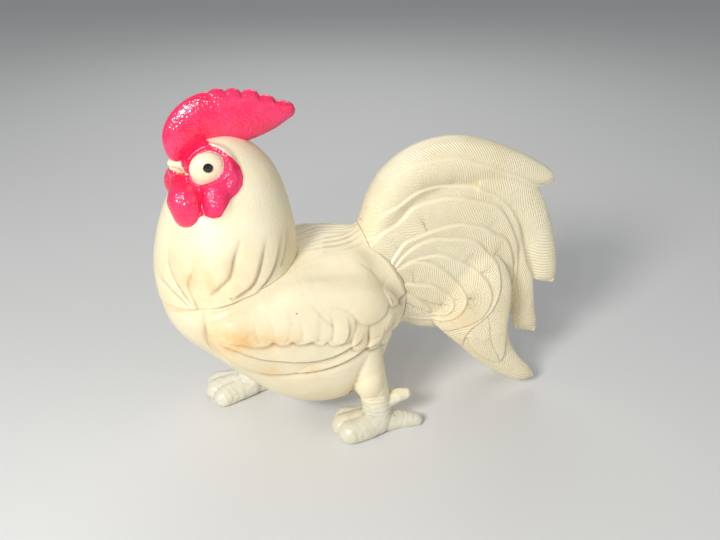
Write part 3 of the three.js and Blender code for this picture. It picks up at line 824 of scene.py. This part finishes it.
def rubber(name, light, deep, groove_shade, coated=False, barbs=False, gloss=0.36, upper=None):
    """Old cream rubber: cloudy colour, amber stains, painted shade in its grooves and a few dark specks.
    """
    n = Nodes(name)
    base = n.mix(n.curve(n.noise(38, 4, 0.6), (0.35, 0), (0.7, 1)), light, deep)
    if upper:
        base = n.mix(n.own("upper"), base, upper)
    cloud = n.curve(n.noise(160, 5, 0.65), (0.38, 0), (0.68, 1))
    blotch = n.maths("ADD", n.maths("MULTIPLY", cloud, 0.6), 0.3)
    base = n.mix(n.maths("MULTIPLY", n.own("stain"), blotch), base, AMBER)
    # Painted shade: the grooves are darkened, in patches, by how deep they lie.
    patchy = n.curve(n.noise(90, 4, 0.6), (0.25, 0.45), (0.7, 1))
    base = n.mix(n.maths("MULTIPLY", n.own("cavity"), patchy, clamp=True), base, groove_shade)
    spots = n.add("TexVoronoi", Vector=n.where(), Scale=230.0)
    speck = n.curve(spots.outputs["Distance"], (0.05, 1), (0.11, 0))
    chosen = n.curve(n.noise(75, 2, 0.5), (0.66, 0), (0.69, 1))
    shown = n.maths("MULTIPLY", n.maths("MULTIPLY", speck, chosen), 0.75)
    base = n.mix(shown, base, SPECKS)
    rough = n.maths("ADD", n.maths("MULTIPLY", n.noise(120, 3, 0.6), 0.16), gloss - 0.08)
    fine = n.maths("ADD", n.noise(700, 3, 0.55), n.maths("MULTIPLY", n.noise(180, 2, 0.5), 1.5))
    normal = n.bump(fine, 0.00011)
    if barbs:
        wave = n.maths("SINE", n.maths("MULTIPLY", n.own("barb"), 2 * math.pi))
        wave = n.maths("MULTIPLY", wave, n.own("barb_strength"))
        normal = n.bump(wave, 0.00008, under=normal)
    if coated:
        uneven = n.maths("MULTIPLY", n.maths("SUBTRACT", n.noise(420, 3), 0.5), 0.22)
        cover = n.curve(n.maths("ADD", n.own("paint"), uneven), (0.46, 0), (0.54, 1))
        red, red_rough, red_height = red_coat(n)
        base = n.mix(cover, base, red)
        rough = n.mix(cover, rough, red_rough)
        normal = n.bump(n.maths("MULTIPLY", red_height, cover), 0.00012, under=normal)
    return n.finish(Base_Color=base, Roughness=rough, Normal=normal, Subsurface_Weight=0.12,
                    Subsurface_Radius=(1.0, 0.7, 0.4), Subsurface_Scale=0.002)


def red_coat(n):
    """The red's colour, roughness and pebbled height."""
    base = n.mix(n.curve(n.noise(110, 4, 0.6), (0.3, 0), (0.72, 1)), colour(248, 16, 72),
                 colour(240, 58, 112))
    pits = n.add("TexVoronoi", Vector=n.where(), Scale=820.0)
    height = n.curve(pits.outputs["Distance"], (0.0, 1), (0.6, 0))
    rough = n.curve(n.noise(260, 3, 0.6), (0.3, 0.22), (0.7, 0.36))
    return base, rough, height


def red_paint(name):
    """The red on its own, darker in its creases as painted shade, under a clear gloss."""
    n = Nodes(name)
    base, rough, height = red_coat(n)
    # Painted shade: the red turns darker with depth in its creases.
    base = n.mix(n.maths("MULTIPLY", n.own("cavity"), 0.7, clamp=True), base, colour(150, 10, 34))
    normal = n.bump(height, 0.00017)
    return n.finish(Base_Color=base, Roughness=rough, Normal=normal, Coat_Weight=0.6,
                    Coat_Roughness=0.1, Coat_Normal=normal)


def metal(name, bright, dull, rough):
    n = Nodes(name)
    base = n.mix(n.curve(n.noise(420, 4, 0.6), (0.3, 0), (0.7, 1)), bright, dull)
    uneven = n.maths("ADD", n.maths("MULTIPLY", n.noise(900, 3), 0.25), rough - 0.1)
    normal = n.bump(n.noise(1400, 2), 0.00004)
    return n.finish(Base_Color=base, Roughness=uneven, Normal=normal, Metallic=1.0)


def bead(name):
    n = Nodes(name)
    base = n.mix(n.noise(500, 2), colour(20, 18, 17), colour(34, 30, 28))
    rough = n.maths("ADD", n.maths("MULTIPLY", n.noise(700, 2), 0.08), 0.12)
    return n.finish(Base_Color=base, Roughness=rough, Coat_Weight=0.5, Coat_Roughness=0.05)


def finished(obj, material, body, node):
    """Turns a piece to metres, shades it and ties it to the frame."""
    points, _ = arrays(obj)
    move_to(obj, points * MM)
    bm = bmesh.new()
    bm.from_mesh(obj.data)
    for face in bm.faces:
        face.smooth = True
    for edge in bm.edges:
        edge.smooth = edge.calc_face_angle(0) < SHARP
    bm.to_mesh(obj.data)
    bm.free()
    obj.data.materials.clear()
    obj.data.materials.append(material)
    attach(obj, body)
    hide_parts(node)


# ---- Camera, floor and light ----


def camera():
    data = bpy.data.cameras.new("camera")
    data.lens = 40
    obj = bpy.data.objects.new("camera", data)
    bpy.context.collection.objects.link(obj)
    obj.location = (0.27197, -0.07690, 0.21418)
    back = Vector((0.853, -0.2285, 0.4695))
    obj.rotation_euler = back.to_track_quat("Z", "Y").to_euler()
    bpy.context.scene.camera = obj


def softbox(name, spot, target, size, power):
    """A round soft light at a spot, facing the target."""
    data = bpy.data.lights.new(name, "AREA")
    data.shape = "DISK"
    data.size = size
    data.energy = power
    obj = bpy.data.objects.new(name, data)
    bpy.context.collection.objects.link(obj)
    obj.location = spot
    obj.rotation_euler = (Vector(spot) - Vector(target)).to_track_quat("Z", "Y").to_euler()


def studio():
    half = 3.0
    mesh = bpy.data.meshes.new("floor")
    corners = [(-half, -half, 0), (half, -half, 0), (half, half, 0), (-half, half, 0)]
    mesh.from_pydata(corners, [], [(0, 1, 2, 3)])
    floor = bpy.data.objects.new("floor", mesh)
    bpy.context.collection.objects.link(floor)
    n = Nodes("floor")
    shade = n.mix(n.noise(2.0, 2), colour(222, 221, 218), colour(228, 227, 224))
    mesh.materials.append(n.finish(Base_Color=shade, Roughness=0.75))
    target = (0, -0.01, 0.06)
    softbox("key", (0.38, -0.4, 0.42), target, 0.18, 3.2)
    softbox("glint", (0.36, -0.2, 0.34), target, 0.04, 0.22)
    softbox("fill", (0.45, 0.45, 0.3), target, 0.5, 0.6)
    softbox("back", (-0.5, 0.1, 0.5), target, 0.5, 0.9)
    world = bpy.data.worlds.new("world")
    world.use_nodes = True
    background = world.node_tree.nodes["Background"].inputs
    background["Color"].default_value = (0.9, 0.95, 1.0, 1)
    background["Strength"].default_value = 0.28
    bpy.context.scene.world = world


# ---- Body ----


def tail_room(set_back):
    """Everything on the tail's side of its seam: past the rim's flat face, less the ball."""
    room = raw("room", [beyond(TAIL, TAIL_RIM - TAIL_BALL + set_back)])
    size = TAIL_BALL + set_back
    centre = TAIL["centre"] - TAIL["axis"] * TAIL_BALL
    return boolean(room, "DIFFERENCE", ellipsoid((size, size, size), centre, 160))


def thigh(place, grow=0.0):
    """A thigh from just past its hip's seat up into the trunk."""
    centre = place["centre"]
    end, middle, root = (centre - place["axis"] * inward for inward in (-2, 7, 20))
    radius = THIGH_RADIUS + grow
    return limb([
        [*end, radius],
        [middle[0], middle[1] - 2, middle[2], radius + 0.4],
        [root[0] * 0.85, root[1] - 5, root[2], radius + 2.4],
    ])


def haunch(place):
    """The plump feathers on the outside of a thigh."""
    x, y, z = place["centre"]
    return ellipsoid((5.8, 6.2, 8.6), (x + math.copysign(2.2, x), y - 2, z + 5))


def hip_trim(place, grow):
    """What the leg's side of a hip's seam takes out of the belly."""
    return cylinder(THIGH_RADIUS + HIP_RECESS + grow, -grow, 14 + grow, place)


def body_piece():
    """The hollow trunk with its wings and thighs, and a hole for each plug and for the squeaker."""
    hips = (LEFT_HIP, RIGHT_HIP)
    wings = [loft(WING), loft(mirrored(WING))]
    parts = [loft(TRUNK), *wings, *map(thigh, hips), *map(haunch, hips)]
    obj = moulded("body_skin", parts, grain=0.5)
    body_relief(obj)
    boolean(obj, "DIFFERENCE", beyond(NECK, 0), tail_room(0), *[hip_trim(hip, 0) for hip in hips])
    inside = [loft(TRUNK, WALL + 1), *[thigh(hip, -1.6) for hip in hips]]
    hollow = moulded("hollow", inside, grain=1.2, rounds=2)
    boolean(hollow, "DIFFERENCE", beyond(NECK, -WALL), tail_room(-WALL),
            *[hip_trim(hip, WALL) for hip in hips],
            cylinder(SQUEAKER_RING, -RING_THICKNESS, 20, SQUEAKER))
    boolean(obj, "DIFFERENCE", hollow, cylinder(RIM_ROOM, 0, 6, SQUEAKER))
    for spot in (NECK, TAIL, *hips, SQUEAKER):
        boolean(obj, "DIFFERENCE", cylinder(spot["hole"], -WALL - 4, 4, spot))
    return obj


def wing_rim(side, signed):
    """The step at the wing's edge, which swells into a soft roll at its front."""
    front = ramp(-44, -60, side[:, 0]) * ramp(71, 65, side[:, 1])
    step = (1.4 - front) * (ramp(-0.5, 0.6, signed) - 0.5) * bell(signed, 2.4)
    return step + front * (2.0 * ramp(-1.5, 9, signed) - 0.35 * bell(signed + 0.6, 1.8))


def body_relief(obj):
    """Evens out the wings, then raises the feathers of the wings, the hackle, the rump and the back."""
    points, links = arrays(obj)
    side = points[:, 1:]
    wing = spline(WING_EDGE, 60)
    away, _ = to_line(side, wing)
    above = within(side, np.vstack([wing, OVER_WING]))
    soft = ramp(2.5, 9, away) * above * ramp(-66, -54, side[:, 0])
    points = evened(points, links, 90, 0.5 * soft[:, None])
    move_to(obj, points)
    normal = normals(obj)
    height = shelf(side, PRIMARY_EDGE, [(-8, 90), (-70, 90)], 1.0, 9)
    height += shelf(side, COVERT_EDGE, [(-30, 90), (-70, 90)], 0.7, 7)
    height += np.max([tip(side, *row) for row in TIPS], axis=0)
    height += wing_rim(side, np.where(above, away, -away))
    height += hackle_relief(points) * ramp(-70, -60, side[:, 0])
    height *= ramp(7, 11, np.abs(points[:, 0])) * ramp(0.1, 0.4, np.abs(normal[:, 0]))
    # The breast is tucked in under the hackle, so that the head's lower edge stands proud of it.
    below = (NECK["centre"] - points) @ NECK["axis"]
    tucked = ramp(7, 0, below) * ramp(-30, -45, points[:, 1]) * ramp(-79, -69, points[:, 1])
    height = height * (1 - tucked) - tucked
    height += saddle(points)
    move_to(obj, points + height[:, None] * normal)


def saddle(points):
    """The shallow trough along the back, with a soft rim on each side and a few long feathers."""
    x, y, z = np.abs(points[:, 0]), points[:, 1], points[:, 2]
    here = ramp(-36, -28, y) * ramp(-3, -11, y) * ramp(70, 76, z)
    strands = 0.25 * np.sin(2 * math.pi * (x / 3.4 + 0.006 * (y + 19) ** 2)) * ramp(15, 10, x)
    return here * (bell(x - 13.8, 2.6) - 2.3 * np.exp(-((x / 10.5) ** 4)) + strands)


# ---- Head ----


def head_piece():
    eyes = [ellipsoid(EYE_RADII, (side * EYE[0], EYE[1], EYE[2])) for side in (1, -1)]
    obj = moulded("head_skin", [loft(HEAD), limb(BEAK), *eyes], grain=0.4, rounds=4)
    displaced(obj, head_relief)
    boolean(obj, "DIFFERENCE", beyond(flipped(NECK), -SEAM))
    hollow = raw("hollow", [loft(HEAD, WALL, around=48, along=40)])
    boolean(hollow, "DIFFERENCE", beyond(flipped(NECK), -GAP - WALL))
    bore = NECK["hole"] - GAP - WALL
    boolean(obj, "DIFFERENCE", hollow, cylinder(bore, -1, WALL + 2, NECK))
    boolean(obj, "UNION", plug(NECK, bore))
    return obj


def off_eye(points):
    """About how far each point is from the eyes' bulges, in millimetres."""
    x, y, z = points.T
    away = np.stack([np.abs(x) - EYE[0], y - EYE[1], z - EYE[2]], 1) / EYE_RADII
    return (np.linalg.norm(away, axis=1) - EYE_EDGE) * EYE_SCALE


def painted(points):
    """How far each point lies inside the red of the face, in millimetres. The eyes and beak are bare."""
    side = points[:, 1:]
    outline = np.array(FACE)
    away, _ = to_line(side, np.vstack([outline, outline[:1]]))
    deep = np.where(within(side, outline), away, -away)
    beak, _ = to_line(points, np.array(BEAK)[:, :3])
    off_beak = np.where(points[:, 1] < BEAK_START, beak - BEAK_BARE, FAR)
    return np.minimum(np.minimum(deep, off_eye(points)), off_beak)


def head_relief(points, normal):
    """The red's thickness, the ear, the eyelids, the mouth, the lobe under the eye and the hackle."""
    side = points[:, 1:]
    sideways = ramp(0.15, 0.5, np.abs(normal[:, 0]))
    off = off_eye(points)
    coat = 0.35 * ramp(-0.4, 0.6, painted(points))
    ear = 1.1 * bell(to_line(side, spline(EAR, 30))[0], 1.7)
    eyelid = 0.7 * bell(off - 1.9, 1.1)
    mouth = groove(side, MOUTH, 0.6, 0.45) * ramp(-64.5, -66, side[:, 0])
    from_lobe = np.hypot(side[:, 0] - LOBE[0], (side[:, 1] - LOBE[1]) / 1.15)
    lobe = 1.9 * np.exp(-((from_lobe / 4.2) ** 4)) + groove(side, LOBE_GROOVE, 1.2, 0.9)
    rim = -0.45 * bell(off - 0.5, 0.5)
    height = coat + eyelid + mouth + (ear + lobe + rim) * sideways
    height = height * ramp(-0.3, 0.4, off) + hackle_relief(points)
    return points + height[:, None] * normal


def pebbles(points, normal, size, height, strength=1.0):
    """Small bumps of that size all over the skin."""
    lift = np.array([noise.voronoi(Vector(p / size))[0][0] for p in points])
    return points + ((0.45 - lift) * height * strength)[:, None] * normal


def comb_piece():
    obj = moulded("comb_skin", [loft(COMB, around=48)], grain=0.3, rounds=2)
    points, _ = arrays(obj)
    inward = COMB_MIDDLE - points[:, 1:]
    inward /= np.linalg.norm(inward, axis=1)[:, None]
    notch = sum(-groove(points[:, 1:], line, depth, 1.1) for depth, *line in COMB_NOTCHES)
    points[:, 1:] += inward * notch[:, None]
    move_to(obj, points)
    # The comb's skin is smooth at its foot and pebbled above.
    rough = ramp(126, 131, points[:, 2] + 0.25 * np.abs(points[:, 1] + 55))
    displaced(obj, pebbles, 0.95, 0.15, rough)
    return obj


def wattle_piece(side):
    lobe = limb([
        [side * 5.6, -70.4, 110.8, 3.2],
        [side * 9.6, -69.2, 106, 6.3],
        [side * 11.2, -68.2, 101.7, 5.9],
    ])
    name = "left_wattle_skin" if side > 0 else "right_wattle_skin"
    obj = moulded(name, [lobe], grain=0.3, rounds=2)
    displaced(obj, pebbles, 1.0, 0.16)
    return obj


# ---- Tail ----


def tail_piece():
    blades = [loft(rows) for rows in (TAIL_FAN, TOP_SICKLE, REAR_SICKLE, INNER_SICKLE, SIDE_SICKLE)]
    far_side = loft(mirrored(SIDE_SICKLE, back=-3, up=-1.8))
    obj = moulded("tail_skin", [*blades, far_side], grain=0.36)
    points, links = arrays(obj)
    flat = ramp(0.45, 0.8, np.abs(normals(obj)[:, 0]))[:, None]
    move_to(obj, evened(points, links, 60, 0.5 * flat))
    displaced(obj, tail_relief)
    boolean(obj, "INTERSECT", tail_room(SEAM))
    hollow = raw("hollow", [loft(TAIL_FAN, WALL, around=40, along=40)])
    boolean(hollow, "UNION", loft(TOP_SICKLE, WALL, around=32, along=40))
    boolean(hollow, "INTERSECT", tail_room(GAP + WALL))
    bore = TAIL["hole"] - GAP - WALL
    boolean(obj, "DIFFERENCE", hollow, cylinder(bore, -3, WALL + 3, TAIL))
    boolean(obj, "UNION", plug(TAIL, bore, WALL + PLUG_DROP))
    return obj


# ---- Legs ----


def leg_relief(points, normal, ankle):
    """Scutes: rings round the shank, bars over the toes, and a little unevenness."""
    x, y, z = (points - [ankle[0], ankle[1], 0]).T
    reach = np.hypot(x, y)
    wobble = np.array([noise.noise(Vector(p / 2.6)) for p in points])
    shank = ramp(8, 11, z) * ramp(21, 18, z) * ramp(9, 7.5, reach)
    toes = ramp(6.5, 8.5, reach) * ramp(2.2, 3.6, z) * ramp(9, 7, z)
    rings = np.cos(2 * math.pi * (z / 2.1 + 0.35 * wobble))
    bars = np.cos(2 * math.pi * (reach / 2.3 + 0.25 * wobble))
    height = 0.12 * rings * shank + 0.07 * bars * toes + 0.25 * wobble
    return points + height[:, None] * normal


def leg_piece(name, hip, side, ankle, heading):
    def at(across, ahead, z, r):
        """A limb's point, placed from the ankle along the foot's heading."""
        return [
            ankle[0] + side * (across * math.cos(heading) + ahead * math.sin(heading)),
            ankle[1] - ahead * math.cos(heading) + across * math.sin(heading),
            z,
            r,
        ]

    toes = [
        [at(1, 1, 4.8, 5.8), at(3.6, 8, 4.2, 5.2), at(4.6, 13.6, 4, 4.8)],
        [at(0, 1, 4.8, 5.8), at(-0.4, 9, 4.3, 5.2), at(-0.8, 15, 4, 4.8)],
        [at(-1, 1, 4.6, 5.4), at(-4.2, 8, 4, 4.7), at(-6.2, 12.4, 3.6, 4.3)],
        [at(0.4, 0, 4.6, 5.4), at(1.4, -9, 3, 3.8), at(2, -15.6, 2.1, 2.8)],
    ]
    centre = hip["centre"]
    top = centre[2] + 2
    shank = [
        [centre[0], centre[1], top, 6.1],
        [(centre[0] + ankle[0]) / 2, (centre[1] + ankle[1]) / 2, (top + 6) / 2, 5.9],
        at(0, 0.5, 6.4, 6),
    ]
    spur = [at(0.2, -3, 14, 3.6), at(0.6, -8, 15.2, 3), at(0.8, -10.9, 15.6, 2.4)]
    obj = moulded(name, [limb(points) for points in [shank, spur, *toes]], grain=0.36, rounds=4)
    displaced(obj, leg_relief, ankle)
    floor_below = {"centre": np.zeros(3), "axis": -UP}
    boolean(obj, "DIFFERENCE", beyond(flipped(hip), -SEAM), beyond(floor_below, 0))
    boolean(obj, "UNION", plug(hip))
    return obj


# ---- Assembly ----

camera()
studio()
bpy.context.scene.view_settings.view_transform = "Standard"

SHADES = (colour(247, 236, 204), colour(240, 224, 184), colour(134, 104, 66))  # light, deep, and the painted shade in grooves
CREAM = rubber("cream_rubber", *SHADES)
HEAD_CREAM = rubber("head_rubber", *SHADES, coated=True)
TAIL_CREAM = rubber("tail_rubber", *SHADES, barbs=True)
# The third colour is the painted shade in the legs' grooves.
LEG_CREAM = rubber("leg_rubber", colour(232, 227, 208), colour(220, 212, 188), colour(130, 114, 86),
                   gloss=0.3, upper=colour(244, 232, 198))
RED = red_paint("red_paint")


def marked(obj, depth=0.25):
    """The attributes that the rubber reads: depth in the grooves for painted shade, and stains by place.
    """
    attribute(obj, "cavity", np.clip(cavity(obj, depth), 0, 1))
    points, _ = arrays(obj)
    y, z = points[:, 1], points[:, 2]
    amber = sum(s * np.exp(-((y - a) ** 2 + (z - b) ** 2) / r**2) for a, b, r, s in STAINS)
    attribute(obj, "stain", np.clip(amber, 0, 1))
    return points


body = body_piece()
marked(body)
finished(body, CREAM, "body", "body_shell")

head = head_piece()
points = marked(head)
attribute(head, "paint", np.clip(0.5 + painted(points) / 1.4, 0, 1))
finished(head, HEAD_CREAM, "head", "head_shell")

tail = tail_piece()
points = marked(tail, 0.7)
_, phase, strength = feather_relief(points[:, 1:])
attribute(tail, "barb", phase)
attribute(tail, "barb_strength", strength)
finished(tail, TAIL_CREAM, "tail", "tail_shell")

for obj, node in ((comb_piece(), "comb"), (wattle_piece(1), "left_wattle"),
                  (wattle_piece(-1), "right_wattle")):
    marked(obj)
    finished(obj, RED, "head", node)

for name, hip, side, ankle, heading in (
    ("left_leg", LEFT_HIP, 1, LEFT_ANKLE, LEFT_HEADING),
    ("right_leg", RIGHT_HIP, -1, RIGHT_ANKLE, 0.0),
):
    obj = leg_piece(name + "_skin", hip, side, ankle, heading)
    points = marked(obj, 0.4)
    attribute(obj, "upper", ramp(11, 20, points[:, 2]))
    finished(obj, LEG_CREAM, name, name)

TIN = metal("tin", colour(196, 198, 200), colour(150, 150, 152), 0.35)
BRASS = metal("brass", colour(214, 176, 92), colour(170, 130, 60), 0.3)
BLACK = bead("black_bead")
for node, material in (("squeaker_cup", TIN), ("squeaker_rivet", TIN), ("squeaker_plate", BRASS),
                       ("squeaker_reed", BRASS), ("left_pupil", BLACK), ("right_pupil", BLACK)):
    shown = frame["nodes"][node]
    shown.data.materials.clear()
    shown.data.materials.append(material)
